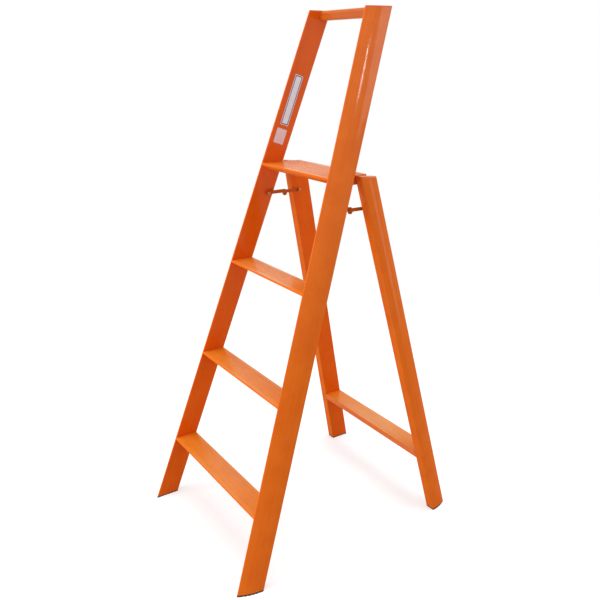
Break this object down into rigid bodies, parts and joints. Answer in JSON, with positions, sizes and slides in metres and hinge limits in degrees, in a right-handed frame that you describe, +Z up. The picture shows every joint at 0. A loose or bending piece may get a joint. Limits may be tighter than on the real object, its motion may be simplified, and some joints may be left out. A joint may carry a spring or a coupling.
{
  "type": "folding platform step ladder",
  "caption": "Folding step ladder of painted aluminium with flat treads, a standing platform, a hand hoop above it and a hinged rear frame held by folding stays.",
  "frame": {"origin": "on the floor, in the middle of the open ladder's stance", "axes": "+Z up, +Y the way the climber faces, from the front stiles to the rear legs, +X to the climber's right"},
  "size_m": [0.5042, 0.6687, 1.2955],
  "materials": {
    "orange_paint": "smooth semi-gloss orange paint on extruded aluminium; the stays are painted steel",
    "orange_plastic": "moulded plastic in the paint's orange",
    "black_rubber": "moulded matt rubber",
    "bracket_aluminium": "mill finish",
    "rivet_aluminium": "plain",
    "zinc_steel": "zinc plated",
    "bush_nylon": "turned natural nylon"
  },
  "bodies": {
    "front_frame": {"front_foot_left": "black_rubber", "front_foot_right": "black_rubber", "front_stile_left": "orange_paint", "front_stile_right": "orange_paint", "grip_rail": "orange_paint", "grip_rail_bracket_left": "bracket_aluminium", "grip_rail_bracket_right": "bracket_aluminium", "hinge_axle": "zinc_steel", "platform": "orange_paint", "platform_bracket_left": "bracket_aluminium", "platform_bracket_right": "bracket_aluminium", "platform_end_cap_left": "orange_plastic", "platform_end_cap_right": "orange_plastic", "stay_stile_stud_left": "zinc_steel", "stay_stile_stud_right": "zinc_steel", "stile_cap_left": "orange_plastic", "stile_cap_right": "orange_plastic", "stile_rivets_left": "rivet_aluminium", "stile_rivets_right": "rivet_aluminium", "tread_1": "orange_paint", "tread_1_bracket_left": "bracket_aluminium", "tread_1_bracket_right": "bracket_aluminium", "tread_2": "orange_paint", "tread_2_bracket_left": "bracket_aluminium", "tread_2_bracket_right": "bracket_aluminium", "tread_3": "orange_paint", "tread_3_bracket_left": "bracket_aluminium", "tread_3_bracket_right": "bracket_aluminium", "tread_rivets": "rivet_aluminium"},
    "rear_frame": {"crossbar_bracket_left": "bracket_aluminium", "crossbar_bracket_right": "bracket_aluminium", "crossbar_rivets": "rivet_aluminium", "hinge_bush_left": "bush_nylon", "hinge_bush_right": "bush_nylon", "leg_rivets_left": "rivet_aluminium", "leg_rivets_right": "rivet_aluminium", "rear_crossbar": "orange_paint", "rear_foot_left": "black_rubber", "rear_foot_right": "black_rubber", "rear_leg_head_left": "orange_plastic", "rear_leg_head_right": "orange_plastic", "rear_leg_left": "orange_paint", "rear_leg_right": "orange_paint", "stay_leg_stud_left": "zinc_steel", "stay_leg_stud_right": "zinc_steel"},
    "left_front_stay": {"knuckle_pin_left": "zinc_steel", "stay_front_link_left": "orange_paint"},
    "left_rear_stay": {"stay_rear_link_left": "orange_paint"},
    "right_front_stay": {"knuckle_pin_right": "zinc_steel", "stay_front_link_right": "orange_paint"},
    "right_rear_stay": {"stay_rear_link_right": "orange_paint"}
  },
  "joints": [
    {"name": "rear_frame_fold", "type": "hinge", "parent": "front_frame", "child": "rear_frame", "pos_m": [0, 0.06855, 0.9212], "axis": [-1, 0, 0], "range_deg": [0, 31.98]},
    {"name": "left_stay_fold", "type": "hinge", "parent": "front_frame", "child": "left_front_stay", "pos_m": [-0.1416, -0.00486, 0.8542], "axis": [1, 0, 0], "range_deg": [0, 35.9]},
    {"name": "left_stay_knuckle", "type": "hinge", "parent": "left_front_stay", "child": "left_rear_stay", "pos_m": [-0.1416, 0.04357, 0.8542], "axis": [-1, 0, 0], "range_deg": [0, 96]},
    {"name": "right_stay_fold", "type": "hinge", "parent": "front_frame", "child": "right_front_stay", "pos_m": [0.1416, -0.00486, 0.8542], "axis": [1, 0, 0], "range_deg": [0, 35.9]},
    {"name": "right_stay_knuckle", "type": "hinge", "parent": "right_front_stay", "child": "right_rear_stay", "pos_m": [0.1416, 0.04357, 0.8542], "axis": [-1, 0, 0], "range_deg": [0, 96]}
  ],
  "couplings": [
    {"joint": "left_stay_fold", "follows": "rear_frame_fold", "ratio": 1.12},
    {"joint": "left_stay_knuckle", "follows": "rear_frame_fold", "ratio": 3},
    {"joint": "right_stay_fold", "follows": "rear_frame_fold", "ratio": 1.12},
    {"joint": "right_stay_knuckle", "follows": "rear_frame_fold", "ratio": 3}
  ]
}
